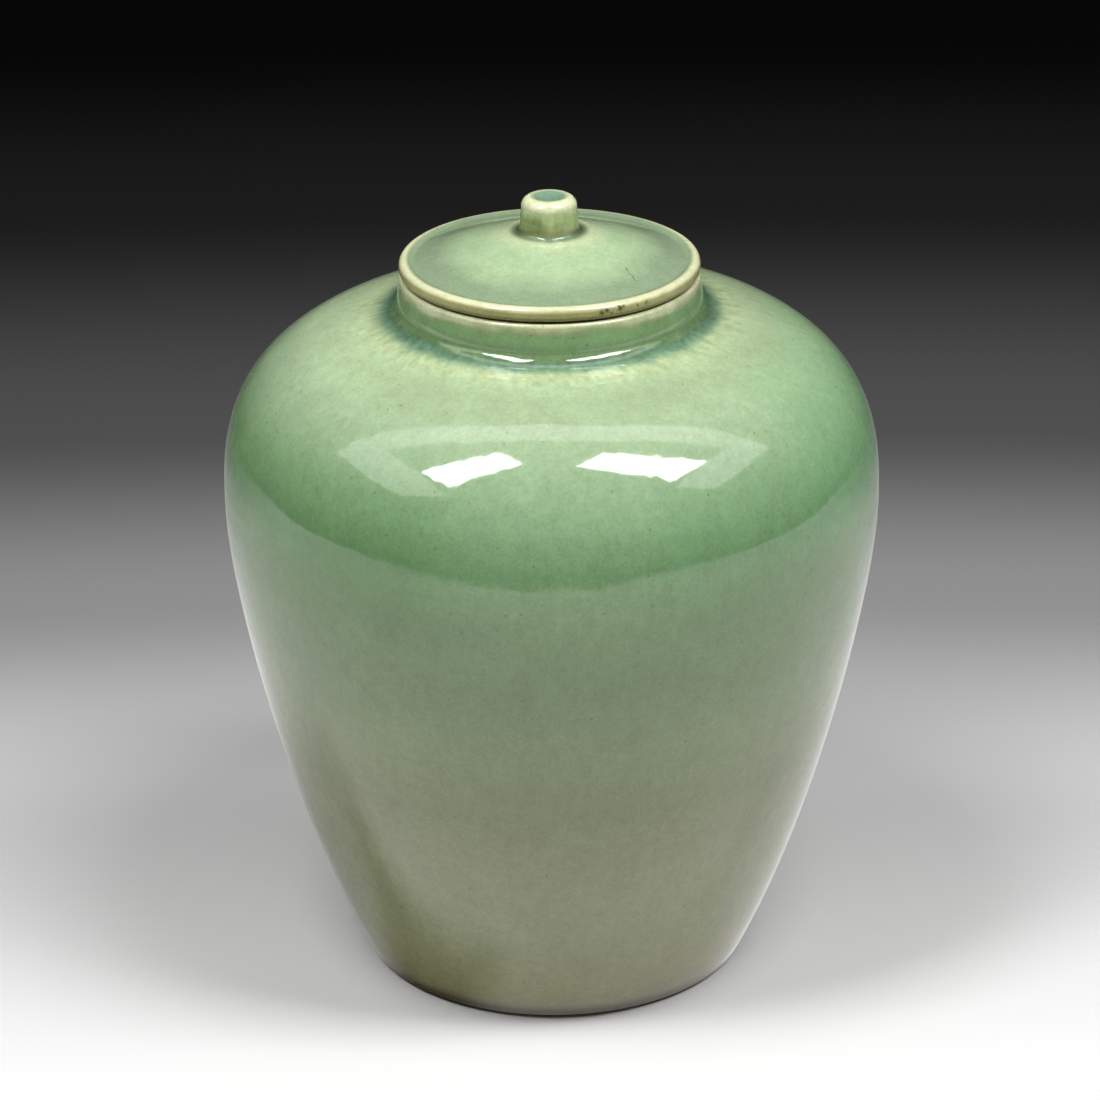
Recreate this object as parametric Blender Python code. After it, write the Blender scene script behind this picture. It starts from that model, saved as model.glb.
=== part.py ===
"""Lidded storage jar in celadon-glazed stoneware.

The jar stands on a bare clay foot ring, with its axis on Z and the middle of its foot at the origin.
It is turned on a wheel, so every sub-part is an outline in the XZ plane swept round Z. The lid (plate,
locating flange and knob) lifts straight up off the neck. Lengths are metres.
"""

import math

import bmesh
import bpy

# Body: the widest turn, then the wall
BELLY_RADIUS = 0.100
BELLY_Z = 0.1528
WALL = 0.005
FLOOR_Z = 0.0130
FLOOR_FILLET = 0.008

# Where the outer curves end, and how far each one keeps its first direction
SHOULDER_TOP_RADIUS = 0.0505
SHOULDER_TOP_Z = 0.2103
SHOULDER_FALL = 0.0098
ABOVE_BELLY = 0.0177
BELOW_BELLY = 0.0331
FOOT_EDGE_RADIUS = 0.0597
FOOT_EDGE_Z = 0.0016
FOOT_FLARE = 0.0192
FOOT_FLARE_RISE = 0.0362
CREASE_REACH = 0.0022

# Foot ring, set back under the glazed wall
FOOT_RING_OUTER = 0.0572
FOOT_RING_INNER = 0.0500
FOOT_RING_HEIGHT = 0.0055
FOOT_RING_CHAMFER = 0.0006

# Collar
COLLAR_BASE_Z = 0.2142
COLLAR_TOP_Z = 0.2224
COLLAR_RADIUS = 0.0454
COLLAR_BASE_RADIUS = 0.0461
COLLAR_WALL = 0.0045

# Lid plate
LID_RADIUS = 0.0453
LID_EDGE = 0.0046
LID_EDGE_ROUND = 0.0019
LID_VALLEY_RADIUS = 0.0405
LID_VALLEY_DEPTH = 0.0005
LID_CROWN_RADIUS = 0.0125
LID_CROWN_RISE = 0.0084
LID_CROWN_REACH = 0.0075
LID_CROWN_FALL = 0.0022
LID_VALLEY_REACH = 0.0075
LID_VALLEY_RISE = 0.0019
LID_WALL = 0.0046
LID_HOLLOW_RISE = 0.0022

# Locating flange
FLANGE_OUTER = 0.0395
FLANGE_INNER = 0.0350
FLANGE_DEPTH = 0.0100
FLANGE_TAPER = 0.0004

# Knob
KNOB_RADIUS = 0.0087
KNOB_TOP_RADIUS = 0.0084
KNOB_HEIGHT = 0.0104
KNOB_WIDEST = 0.0036
KNOB_EDGE_ROUND = 0.0030
KNOB_DISH_DEPTH = 0.0008

FIT_GAP = 0.0003
EDGE_ROUND = 0.0012
GLAZE_EDGE = 0.0004
SEGMENTS = 48
AXIS_MERGE = 0.000001
SHARP_ANGLE = math.radians(40)

# Heights that follow from the dimensions above
LID_UNDERSIDE_Z = COLLAR_TOP_Z + FIT_GAP
LID_RIM_Z = LID_UNDERSIDE_Z + LID_EDGE
LID_CROWN_Z = LID_RIM_Z + LID_CROWN_RISE
KNOB_BASE_Z = LID_CROWN_Z + FIT_GAP
KNOB_TOP_Z = KNOB_BASE_Z + KNOB_HEIGHT

# Finishes: colour, roughness, metallic
CELADON = ((0.24, 0.42, 0.27, 1.0), 0.12, 0.0)
THIN_CELADON = ((0.36, 0.46, 0.30, 1.0), 0.15, 0.0)
BARE_CLAY = ((0.44, 0.33, 0.22, 1.0), 0.85, 0.0)


def bezier(start, start_handle, end_handle, end, count):
    """Points of one cubic curve in the outline's plane, both ends included."""
    points = []
    for i in range(count + 1):
        t = i / count
        s = 1 - t
        weights = (s**3, 3 * s * s * t, 3 * s * t * t, t**3)
        corners = (start, start_handle, end_handle, end)
        points.append(tuple(sum(w * c[k] for w, c in zip(weights, corners)) for k in (0, 1)))
    return points


def arc(centre, radius, first_degrees, last_degrees, count):
    """Points along a circular arc, both ends included: 0 degrees points away from the axis and 90 up."""
    points = []
    for i in range(count + 1):
        angle = math.radians(first_degrees + (last_degrees - first_degrees) * i / count)
        points.append((centre[0] + radius * math.cos(angle), centre[1] + radius * math.sin(angle)))
    return points


def inside_of(line, thickness):
    """The inner face of a wall whose outer face is a line that runs down its outer side."""
    moved = []
    for i, (x, z) in enumerate(line):
        before = line[max(i - 1, 0)]
        after = line[min(i + 1, len(line) - 1)]
        step = (after[0] - before[0], after[1] - before[1])
        length = math.hypot(*step)
        moved.append((x + thickness * step[1] / length, z - thickness * step[0] / length))
    return moved


def finish(name, look):
    colour, roughness, metallic = look
    made = bpy.data.materials.new(name)
    made.use_nodes = True
    shader = made.node_tree.nodes["Principled BSDF"]
    shader.inputs["Base Color"].default_value = colour
    shader.inputs["Roughness"].default_value = roughness
    shader.inputs["Metallic"].default_value = metallic
    return made


def turned(name, outline, look, parent):
    """One turned solid. An outline that starts and ends on the axis is whole; any other closes into a ring."""
    shape = bmesh.new()
    points = [shape.verts.new((x, 0, z - parent.location.z)) for x, z in outline]
    pairs = list(zip(points, points[1:]))
    if outline[0][0] > 0:
        pairs.append((points[-1], points[0]))
    edges = [shape.edges.new(pair) for pair in pairs]
    bmesh.ops.spin(
        shape,
        geom=points + edges,
        cent=(0, 0, 0),
        axis=(0, 0, 1),
        angle=math.tau,
        steps=SEGMENTS,
        use_merge=True,
    )
    bmesh.ops.remove_doubles(shape, verts=shape.verts, dist=AXIS_MERGE)
    bmesh.ops.recalc_face_normals(shape, faces=shape.faces)
    mesh = bpy.data.meshes.new(name)
    shape.to_mesh(mesh)
    shape.free()
    mesh.shade_smooth()
    mesh.set_sharp_from_angle(angle=SHARP_ANGLE)
    mesh.materials.append(finish(name, look))
    part = bpy.data.objects.new(name, mesh)
    part.parent = parent
    bpy.context.scene.collection.objects.link(part)
    return part


def placed_empty(name, height):
    made = bpy.data.objects.new(name, None)
    made.location.z = height
    bpy.context.scene.collection.objects.link(made)
    return made


def shoulder_line():
    """The outer face from the top of the shoulder down to the widest turn of the belly."""
    top = (SHOULDER_TOP_RADIUS, SHOULDER_TOP_Z)
    belly = (BELLY_RADIUS, BELLY_Z)
    out_of_top = (BELLY_RADIUS, SHOULDER_TOP_Z - SHOULDER_FALL)
    into_belly = (BELLY_RADIUS, BELLY_Z + ABOVE_BELLY)
    return bezier(top, out_of_top, into_belly, belly, 13)


def lower_line():
    """The outer face from the belly down to the lower edge of the glazed wall."""
    belly = (BELLY_RADIUS, BELLY_Z)
    edge = (FOOT_EDGE_RADIUS, FOOT_EDGE_Z)
    out_of_belly = (BELLY_RADIUS, BELLY_Z - BELOW_BELLY)
    into_edge = (FOOT_EDGE_RADIUS + FOOT_FLARE, FOOT_EDGE_Z + FOOT_FLARE_RISE)
    return bezier(belly, out_of_belly, into_edge, edge, 11)


def crease_line(stub_top):
    """The hollow curve that turns the shoulder up into the neck."""
    foot_of_neck = (COLLAR_BASE_RADIUS, SHOULDER_TOP_Z + CREASE_REACH / 2)
    end_of_shoulder = (SHOULDER_TOP_RADIUS - CREASE_REACH, SHOULDER_TOP_Z + CREASE_REACH / 5)
    top = (COLLAR_BASE_RADIUS, stub_top)
    return bezier(top, foot_of_neck, end_of_shoulder, (SHOULDER_TOP_RADIUS, SHOULDER_TOP_Z), 4)


def jar_body(parent):
    """A hollow jar with a stub of neck for the collar and a channel underneath for the foot ring."""
    stub_top = COLLAR_BASE_Z - FIT_GAP
    outer = shoulder_line() + lower_line()[1:]
    channel_radius = FOOT_RING_OUTER + FIT_GAP
    channel_z = FOOT_RING_HEIGHT + FIT_GAP
    underneath = [
        (FOOT_EDGE_RADIUS - 2 * GLAZE_EDGE, FOOT_EDGE_Z - GLAZE_EDGE),
        (channel_radius, FOOT_EDGE_Z - GLAZE_EDGE),
        (channel_radius, channel_z),
        (0, channel_z),
    ]
    wall = [point for point in inside_of(outer, WALL) if point[1] > FLOOR_Z + FLOOR_FILLET]
    low_x, low_z = wall[-1]
    floor = bezier(
        (low_x, low_z),
        (low_x - FLOOR_FILLET / 2, FLOOR_Z + FLOOR_FILLET / 5),
        (low_x - FLOOR_FILLET, FLOOR_Z),
        (low_x - 3 * FLOOR_FILLET, FLOOR_Z),
        4,
    )
    stub_inside = (COLLAR_BASE_RADIUS - COLLAR_WALL, stub_top)
    inside = [(0, FLOOR_Z), *reversed(floor), *reversed(wall[:-1]), stub_inside]
    return turned("jar_body", inside + crease_line(stub_top) + outer[1:] + underneath, CELADON, parent)


def neck_collar(parent):
    """The upright collar that carries the lid, luted to the body's stub."""
    edge_z = COLLAR_TOP_Z - EDGE_ROUND
    outline = [
        *arc((COLLAR_RADIUS - EDGE_ROUND, edge_z), EDGE_ROUND, 90, 0, 4),
        (COLLAR_RADIUS, edge_z - 2 * EDGE_ROUND),
        (COLLAR_BASE_RADIUS, COLLAR_BASE_Z),
        (COLLAR_BASE_RADIUS - COLLAR_WALL, COLLAR_BASE_Z),
        *arc((COLLAR_RADIUS - COLLAR_WALL + EDGE_ROUND, edge_z), EDGE_ROUND, 180, 90, 4),
    ]
    return turned("neck_collar", outline, THIN_CELADON, parent)


def foot_ring(parent):
    """The bare ring that the jar stands on, set back under the glazed wall."""
    outline = [
        (FOOT_RING_OUTER, FOOT_RING_HEIGHT),
        (FOOT_RING_OUTER, FOOT_RING_CHAMFER),
        (FOOT_RING_OUTER - FOOT_RING_CHAMFER, 0),
        (FOOT_RING_INNER + FOOT_RING_CHAMFER, 0),
        (FOOT_RING_INNER, FOOT_RING_CHAMFER),
        (FOOT_RING_INNER, FOOT_RING_HEIGHT),
    ]
    return turned("foot_ring", outline, BARE_CLAY, parent)


def lid_plate(parent):
    """A gently crowned plate with a shallow valley inside its rounded rim, hollowed underneath."""
    valley_z = LID_RIM_Z - LID_VALLEY_DEPTH
    slope = bezier(
        (LID_CROWN_RADIUS, LID_CROWN_Z),
        (LID_CROWN_RADIUS + LID_CROWN_REACH, LID_CROWN_Z - LID_CROWN_FALL),
        (LID_VALLEY_RADIUS - LID_VALLEY_REACH, valley_z + LID_VALLEY_RISE),
        (LID_VALLEY_RADIUS, valley_z),
        7,
    )
    edge_radius = LID_RADIUS - LID_EDGE_ROUND
    upper_edge = arc((edge_radius, LID_RIM_Z - LID_EDGE_ROUND), LID_EDGE_ROUND, 90, 0, 5)
    lower_edge = arc((edge_radius, LID_UNDERSIDE_Z + LID_EDGE_ROUND), LID_EDGE_ROUND, 0, -90, 5)
    hollow_radius = FLANGE_INNER - 2 * FIT_GAP
    hollow_z = LID_CROWN_Z - LID_WALL
    hollow = bezier(
        (hollow_radius, LID_UNDERSIDE_Z),
        (hollow_radius - LID_VALLEY_REACH, LID_UNDERSIDE_Z + LID_HOLLOW_RISE),
        (hollow_radius / 2, hollow_z),
        (0, hollow_z),
        6,
    )
    outline = [(0, LID_CROWN_Z), *slope, *upper_edge, *lower_edge, *hollow]
    return turned("lid_plate", outline, CELADON, parent)


def lid_flange(parent):
    """The bare locating ring under the plate, which keeps the lid centred in the neck."""
    round_z = COLLAR_TOP_Z - FLANGE_DEPTH + EDGE_ROUND
    outer_low = FLANGE_OUTER - FLANGE_TAPER
    outline = [
        (FLANGE_OUTER, COLLAR_TOP_Z),
        *arc((outer_low - EDGE_ROUND, round_z), EDGE_ROUND, 0, -90, 4),
        *arc((FLANGE_INNER + EDGE_ROUND, round_z), EDGE_ROUND, -90, -180, 4),
        (FLANGE_INNER, COLLAR_TOP_Z),
    ]
    return turned("lid_flange", outline, BARE_CLAY, parent)


def lid_knob(parent):
    """A short finger knob, a little wider at its foot, with a rounded shoulder and a dished top."""
    shoulder_radius = KNOB_TOP_RADIUS - KNOB_EDGE_ROUND
    dish = bezier(
        (0, KNOB_TOP_Z - KNOB_DISH_DEPTH),
        (shoulder_radius / 2, KNOB_TOP_Z - KNOB_DISH_DEPTH),
        (shoulder_radius * 3 / 4, KNOB_TOP_Z),
        (shoulder_radius, KNOB_TOP_Z),
        4,
    )
    outline = [
        *dish[:-1],
        *arc((shoulder_radius, KNOB_TOP_Z - KNOB_EDGE_ROUND), KNOB_EDGE_ROUND, 90, 0, 6),
        (KNOB_RADIUS, KNOB_BASE_Z + KNOB_WIDEST),
        (KNOB_RADIUS, KNOB_BASE_Z + EDGE_ROUND),
        (KNOB_RADIUS - FIT_GAP, KNOB_BASE_Z),
        (0, KNOB_BASE_Z),
    ]
    return turned("lid_knob", outline, THIN_CELADON, parent)


def build():
    for old in list(bpy.data.objects):
        bpy.data.objects.remove(old)
    jar = placed_empty("jar_axis", 0)
    lid = placed_empty("lid_lift_axis", COLLAR_TOP_Z)
    for make in (jar_body, neck_collar, foot_ring):
        make(jar)
    for make in (lid_plate, lid_flange, lid_knob):
        make(lid)


build()
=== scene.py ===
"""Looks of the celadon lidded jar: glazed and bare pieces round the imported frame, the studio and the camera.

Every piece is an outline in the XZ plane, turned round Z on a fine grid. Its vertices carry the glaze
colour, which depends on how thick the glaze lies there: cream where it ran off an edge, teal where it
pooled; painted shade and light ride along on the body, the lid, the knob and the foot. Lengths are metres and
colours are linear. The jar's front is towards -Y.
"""

import math

import bmesh
import bpy
import numpy as np
from mathutils import Matrix, Vector, noise


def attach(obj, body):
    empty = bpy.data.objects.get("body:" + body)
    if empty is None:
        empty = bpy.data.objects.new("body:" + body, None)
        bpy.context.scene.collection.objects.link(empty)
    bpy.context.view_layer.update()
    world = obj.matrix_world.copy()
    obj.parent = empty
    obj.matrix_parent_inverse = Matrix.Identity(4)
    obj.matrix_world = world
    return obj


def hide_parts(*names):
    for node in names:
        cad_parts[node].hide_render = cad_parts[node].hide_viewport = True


# Outline of the jar, as in the CAD
BELLY_RADIUS = 0.100
BELLY_Z = 0.1528
WALL = 0.005
FLOOR_Z = 0.0130
FLOOR_FILLET = 0.008
SHOULDER_TOP_RADIUS = 0.0505
SHOULDER_TOP_Z = 0.2103
SHOULDER_FALL = 0.0098
ABOVE_BELLY = 0.0177
BELOW_BELLY = 0.0331
FOOT_EDGE_RADIUS = 0.0597
FOOT_EDGE_Z = 0.0016
FOOT_FLARE = 0.0192
FOOT_FLARE_RISE = 0.0362
STUB_TOP_Z = 0.2139
FOOT_RING_OUTER = 0.0572
FOOT_RING_INNER = 0.0500
FOOT_RING_HEIGHT = 0.0055
COLLAR_TOP_Z = 0.2224
COLLAR_RADIUS = 0.0454
COLLAR_BASE_RADIUS = 0.0461
COLLAR_WALL = 0.0045

# Outline of the lid, as in the CAD
LID_UNDERSIDE_Z = 0.2227
LID_RADIUS = 0.0453
LID_RIM_Z = 0.2273
LID_EDGE_ROUND = 0.0019
LID_VALLEY_RADIUS = 0.0405
LID_VALLEY_DEPTH = 0.0005
LID_CROWN_RADIUS = 0.0125
LID_CROWN_Z = 0.2357
LID_CROWN_REACH = 0.0075
LID_CROWN_FALL = 0.0022
LID_VALLEY_REACH = 0.0075
LID_VALLEY_RISE = 0.0019
LID_WALL = 0.0046
LID_HOLLOW_RISE = 0.0022
FLANGE_OUTER = 0.0395
FLANGE_INNER = 0.0350
FLANGE_LOW_Z = 0.2124
FLANGE_TAPER = 0.0004
KNOB_RADIUS = 0.0087
KNOB_TOP_RADIUS = 0.0084
KNOB_BASE_Z = 0.2360
KNOB_TOP_Z = 0.2464
KNOB_WIDEST = 0.0036
KNOB_EDGE_ROUND = 0.0030
KNOB_DISH_DEPTH = 0.0008
FIT_GAP = 0.0003
EDGE_ROUND = 0.0012
GLAZE_EDGE = 0.0004

# How far the outlines' curves keep their direction, and small edges that the glaze and wear leave
THROAT_TURN = (-0.003, 0.001)
THROAT_EASE = 0.004
COLLAR_EASE = 0.003
COLLAR_SEAT = (0.0006, 0.0004)
RIM_EASE = 0.002
FOOT_WORN = 0.0006
KNOB_EASE = 0.0015
KNOB_WIDEST_EASE = 0.0008
KNOB_FILLET = 0.0017
KNOB_SEAT = 0.0006

# How fine the turned grids are
BODY_TURNS = 360
RIM_TURNS = 480
KNOB_TURNS = 192
SHARP_ANGLE = math.radians(40)
TINY = 1e-6

# Unevenness left by the wheel and the firing, always inwards from the CAD face
BODY_SWELL = 0.00022
BODY_SWELL_SIZE = 0.035
BODY_RIPPLE = 0.00005
BODY_RIPPLE_SIZE = 0.014
WHEEL_MARK = 0.00003
WHEEL_MARK_PITCH = 0.0085
LID_SWELL = 0.00010
LID_SWELL_SIZE = 0.016
CHIP_DEPTH = 0.00018
POOL_RIPPLE = 0.00006
POOL_RIPPLE_SIZE = 0.0025

# Where thick glaze softens the crease under the neck, and the moat round the knob
POOL_EASE = 0.0014
MOAT_DEPTH = 0.0002
MOAT_RADIUS = 0.0104
MOAT_EASE = 0.0006

# Under the lid: where the bare clay starts inside the edge, and how wide it is before the hollow's glaze
CLAY_REACH = 0.0002
CLAY_BAND = 0.003

# How far the bands of glaze colour wander, and how strongly they blotch
EDGE_BLEND = 0.0004
POOL_SPAN = (0.0, 0.002, 0.010, 0.020)
POOL_WANDER = 0.0012
POOL_TEAR = 0.0006
POOL_BLOTCH = 0.30
NECK_DRIP = 0.0012
NECK_BLOTCH = 0.12
BAND_SPAN = (0.015, 0.022, 0.038, 0.0425)
BAND_WANDER = 0.0022
RIM_WANDER = 0.0003
KNOB_STREAK = 0.75

# Colours of glaze and clay, and of painted shade
SPRING_GREEN = (0.285, 0.365, 0.212)
BLUE_GREEN = (0.185, 0.245, 0.150)
CREAM = (0.500, 0.500, 0.310)
BROWN_RIM = (0.120, 0.100, 0.042)
CLAY = (0.330, 0.235, 0.150)
# painted shade: the foot ring and the body's underside are darkened for the shadow gap under the jar
FOOT_CLAY_SHADED = (0.120, 0.085, 0.055)
# painted shade on the lid's back
BACK_SHADE_GREEN = (0.095, 0.140, 0.085)
OLIVE_RIM = (0.255, 0.250, 0.082)
OLIVE_PATCH = (0.150, 0.195, 0.058)
# painted shade and dark reflection beside the knob, on the lid's moat and the knob's foot
KNOB_SHADE = (0.045, 0.070, 0.028)
GRIT = (0.050, 0.048, 0.014)
COOL_FLECK = (0.93, 0.99, 1.02)
IRON_SPOT = (0.075, 0.105, 0.055)
DARK_SAND = (0.66, 0.60, 0.55)
PALE_SAND = (1.1, 1.1, 1.1)
SMUDGE = (0.20, 0.12, 0.065)
CLAY_SPECK = (0.07, 0.045, 0.03)

# Body glaze: stops of (distance down the outer face from the neck, colour)
BODY_STOPS = (
    (0.0000, (0.150, 0.240, 0.105)),
    (0.0016, (0.105, 0.170, 0.075)),
    (0.0032, (0.083, 0.148, 0.084)),
    (0.0050, (0.106, 0.184, 0.113)),
    (0.0068, (0.180, 0.260, 0.158)),
    (0.0084, (0.300, 0.370, 0.205)),
    (0.0108, (0.325, 0.390, 0.215)),
    (0.0140, (0.288, 0.366, 0.212)),
    (0.0208, (0.256, 0.326, 0.188)),
    (0.0355, (0.256, 0.334, 0.200)),
    (0.0462, (0.222, 0.313, 0.180)),
    (0.0552, (0.202, 0.298, 0.166)),
    (0.0638, (0.176, 0.282, 0.150)),
    (0.0708, (0.151, 0.253, 0.126)),
    (0.0775, (0.130, 0.228, 0.108)),
    (0.0825, (0.147, 0.234, 0.113)),
    (0.0969, (0.137, 0.202, 0.097)),
    (0.1168, (0.140, 0.196, 0.098)),
    (0.1385, (0.170, 0.212, 0.111)),
    (0.1613, (0.169, 0.190, 0.101)),
    (0.1857, (0.212, 0.226, 0.127)),
    # painted light: the stops from here down are lighter, to offset the shade that falls near the foot
    (0.2120, (0.226, 0.243, 0.135)),
    (0.2356, (0.243, 0.239, 0.124)),
    (0.2440, (0.232, 0.220, 0.122)),
    (0.2460, (0.100, 0.085, 0.045)),
)
BODY_INSIDE = (0.24, 0.36, 0.21)

# Painted shade and tint round the jar, where the body's colour changes: the degrees from the front, positive
# to the right, at which the change starts, is whole, starts to fade and ends; the same four down the outer
# face; and the change
SIDE_SHADE_AND_TINT = (
    # painted shade on the shoulder's left and right sides
    ((-10, -27, -95, -125), (0.044, 0.062, 0.082, 0.112), (-0.20, -0.13, -0.23)),
    ((14, 25, 45, 62), (0.044, 0.062, 0.082, 0.112), (-0.08, -0.04, -0.07)),
    # lighter on the left near the neck, and less red and blue on the right
    ((-35, -62, -110, -140), (0.008, 0.015, 0.027, 0.040), (0.16, 0.16, 0.16)),
    ((42, 60, 95, 125), (0.020, 0.032, 0.080, 0.090), (-0.12, 0.0, -0.07)),
)

# Neck and rim glaze: stops of (height, colour)
NECK_STOPS = (
    (STUB_TOP_Z, (0.175, 0.275, 0.130)),
    (STUB_TOP_Z + 0.0045, (0.168, 0.278, 0.125)),
    (COLLAR_TOP_Z - 0.0030, (0.215, 0.280, 0.135)),
    (COLLAR_TOP_Z - 0.0014, (0.390, 0.430, 0.235)),
    (COLLAR_TOP_Z, CREAM),
)
RIM_STOPS = (
    (LID_UNDERSIDE_Z, BROWN_RIM),
    (LID_UNDERSIDE_Z + 0.0008, (0.185, 0.178, 0.050)),
    (LID_UNDERSIDE_Z + 0.0026, OLIVE_RIM),
    (LID_UNDERSIDE_Z + 0.0034, (0.355, 0.345, 0.165)),
    (LID_RIM_Z - 0.0006, CREAM),
    (LID_RIM_Z, CREAM),
)

# Glaze on top of the lid: stops of (distance from the axis, colour)
LID_STOPS = (
    (0.0000, (0.130, 0.175, 0.095)),
    (0.0094, (0.130, 0.175, 0.095)),
    (0.0106, (0.200, 0.270, 0.150)),
    (0.0122, (0.365, 0.420, 0.245)),
    (0.0145, (0.345, 0.410, 0.240)),
    (0.0190, (0.280, 0.376, 0.216)),
    (0.0260, (0.280, 0.370, 0.212)),
    (0.0310, (0.236, 0.314, 0.183)),
    (0.0350, BLUE_GREEN),
    (0.0405, BLUE_GREEN),
    (0.0424, (0.215, 0.270, 0.160)),
    (0.0432, (0.420, 0.440, 0.260)),
    (0.0437, CREAM),
    (0.0453, CREAM),
)

# Painted shade on the lid's back, and painted shade and dark reflection in the moat beside the knob: how
# strong, and from where to where it grows
BACK_SHADE_SHARE = 0.5
BACK_SHADE_TURN = (0.25, 0.90)
BACK_SHADE_REACH = (0.026, 0.036)
MOAT_SHADE_SHARE = 0.45
MOAT_SHADE_REACH = (0.0126, 0.0100)
SIDES_IN_SHADE = (0.6, 1.0)

# Chips in the rim: degrees round from the front, height and size
RIM_CHIPS = (
    (19.5, LID_RIM_Z - 0.0022, 0.0011),
    (21.5, LID_RIM_Z - 0.0016, 0.0009),
    (23.5, LID_RIM_Z - 0.0026, 0.0008),
    (27.0, LID_RIM_Z - 0.0017, 0.0010),
    (28.5, LID_RIM_Z - 0.0012, 0.0008),
    (34.5, LID_RIM_Z - 0.0020, 0.0006),
    (38.5, LID_RIM_Z - 0.0016, 0.0006),
)

# Hairline scratch on the lid, from one end to the other
LID_SCRATCH = ((0.0223, -0.0182, 0.0), (0.0262, -0.0257, 0.0))

# Knob glaze: stops of (distance from the middle of its dish, colour)
KNOB_STOPS = (
    (0.0000, (0.145, 0.235, 0.155)),
    (0.0043, (0.145, 0.235, 0.155)),
    (0.0053, SPRING_GREEN),
    (0.0062, (0.520, 0.525, 0.330)),
    (0.0088, (0.520, 0.525, 0.330)),
    (0.0108, (0.385, 0.465, 0.235)),
    (0.0148, (0.330, 0.415, 0.190)),
    (0.0160, (0.310, 0.305, 0.145)),
    (0.0167, (0.225, 0.240, 0.120)),
    (0.0174, (0.135, 0.185, 0.105)),
    (0.0400, (0.135, 0.185, 0.105)),
)

# The knob's streaked side, the olive patch at its left front and the painted shade at both sides of its foot
KNOB_SIDE = (0.0095, 0.0125, 0.0165, 0.0182)
PATCH_LEFT = (-0.0005, -0.0040)
PATCH_FRONT = (0.002, -0.002)
PATCH_FROM = (0.0105, 0.0135)
KNOB_FOOT_SHADE = (0.0162, 0.0174)
KNOB_FOOT_SHADE_SHARE = 0.6

# Studio: panels hang over the jar, and the paper under it has a painted pool of light, graded by (distance
# from its centre, albedo)
PANEL_Z = 1.5
BOX_LIGHT = 25.0
FRAME_LIGHT = 2.3
LEFT_BOX = ((-0.16, -0.42), (-0.28, -0.18), (-1.05, -0.55), (-0.93, -0.98))
RIGHT_BOX = ((0.15, -0.47), (0.26, -0.24), (1.20, -0.30), (1.11, -0.84))
FRAME_STRIPS = (
    ((-2.0, 0.0), (-2.0, 0.28), (2.08, 0.28), (2.08, 0.0)),
    ((-2.0, -1.2), (-2.0, 0.0), (-1.1, 0.0), (-1.1, -1.2)),
    ((1.22, -1.0), (1.22, 0.0), (2.08, 0.0), (2.08, -1.0)),
)
FRAME_LIFT = 0.01
FLOOR_RADIUS = 14.0
FLOOR_DROP = 0.0001
WORLD_GREY = 0.004
PAPER_LIGHT_POOL_STOPS = (
    (0.0, 0.80),
    (0.24, 0.80),
    (0.35, 0.57),
    (0.42, 0.54),
    (0.55, 0.44),
    (0.71, 0.19),
    (0.88, 0.062),
    (1.15, 0.012),
    (1.4, 0.003),
)
PAPER_SQUASH = 0.5
PAPER_CENTRE = (0.0, -0.45)

# The table top as the glaze mirrors it, a painted reflection: a glowing ellipse lit by (distance back from the
# jar, brightness), with a painted shadow of the jar on it, which starts behind a slanted line and fades with
# distance from the foot
TABLE_CENTRE = (0.0, 0.10)
TABLE_AXES = (0.93, 0.78)
TABLE_GLOW = 1.25
TABLE_LIGHT = (
    (-0.70, 1.0),
    (-0.10, 1.0),
    (0.05, 0.94),
    (0.20, 0.74),
    (0.32, 0.40),
    (0.45, 0.15),
    (0.62, 0.05),
    (0.88, 0.0),
)
SHADE_FRONT = -0.088
SHADE_SLANT = 0.36
SHADE_SOFT = 0.016
SHADE_NEAR = 0.10
SHADE_FAR = 0.24
SHADE_BACK = 0.68
SHADE_RIGHT = 0.30
SHADE_SIDE = (-0.035, -0.012)
SHADE_DEEP = (-0.045, -0.020)

# Camera: where it stands and how it points
CAMERA_PLACE = (0.0, -1.264, 0.685686)
CAMERA_PITCH = 0.413368
CAMERA_YAW = -0.000538
CAMERA_ROLL = -0.009410
CAMERA_LENS = 146.66
CAMERA_SENSOR = 36.0


# ---------------------------------------------------------------- outlines
def bezier(start, start_handle, end_handle, end, count):
    """Points of one cubic curve in the outline's plane, both ends included."""
    t = np.linspace(0, 1, count + 1)[:, None]
    s = 1 - t
    corners = [np.array(corner) for corner in (start, start_handle, end_handle, end)]
    weights = (s**3, 3 * s * s * t, 3 * s * t * t, t**3)
    return sum(weight * corner for weight, corner in zip(weights, corners))


def arc(centre, radius, first_degrees, last_degrees, count):
    """Points along a circular arc, both ends included: 0 degrees points away from the axis and 90 up."""
    angles = np.radians(np.linspace(first_degrees, last_degrees, count + 1))
    return np.column_stack((centre[0] + radius * np.cos(angles), centre[1] + radius * np.sin(angles)))


def straight(start, end, count):
    """Points along a straight run, both ends included."""
    t = np.linspace(0, 1, count + 1)[:, None]
    return (1 - t) * np.array(start) + t * np.array(end)


def joined(*runs):
    """One outline from runs that follow each other, with repeated points dropped."""
    points = np.vstack([np.atleast_2d(run) for run in runs])
    steps = np.hypot(*np.diff(points, axis=0).T)
    return points[np.concatenate(([True], steps > TINY))]


def travelled(points):
    """The distance along an outline from its first point."""
    return np.concatenate(([0], np.cumsum(np.hypot(*np.diff(points, axis=0).T))))


def normals_of(points):
    """Unit normals in the outline's plane, to the left of its direction."""
    step = np.gradient(points, axis=0)
    step /= np.maximum(np.hypot(*step.T), 1e-12)[:, None]
    return np.column_stack((-step[:, 1], step[:, 0]))


def smooth(low, high, value):
    """0 below low, 1 above high and an S curve between."""
    t = np.clip((value - low) / (high - low), 0, 1)
    return t * t * (3 - 2 * t)


def within(span, value):
    """1 between the middle two numbers of a span and 0 outside the outer two."""
    return smooth(span[0], span[1], value) * smooth(span[3], span[2], value)


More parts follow.
